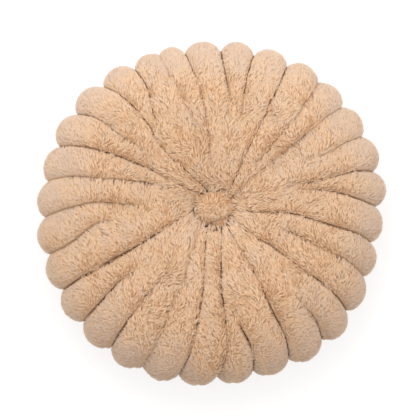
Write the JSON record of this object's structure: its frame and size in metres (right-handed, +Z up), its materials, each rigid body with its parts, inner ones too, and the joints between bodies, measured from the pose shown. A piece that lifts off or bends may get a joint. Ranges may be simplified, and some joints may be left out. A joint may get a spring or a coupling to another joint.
{
  "type": "pumpkin cushion",
  "caption": "Round plush floor cushion with sewn channels that run like petals from a tufted, cloth-covered button to a scalloped rim.",
  "frame": {"origin": "middle of the cushion's outline, on the surface that its back rests on", "axes": "+Z up through the cushion's thickness, towards its face; +Y towards the top of the face as it is seen, +X to its right"},
  "size_m": [0.4496, 0.443, 0.1199],
  "materials": {
    "plush_cover": "long soft pile",
    "button_cover": "long soft pile"
  },
  "bodies": {
    "root": {"cushion_cover": "plush_cover", "front_button": "button_cover", "back_button": "button_cover"}
  },
  "joints": []
}
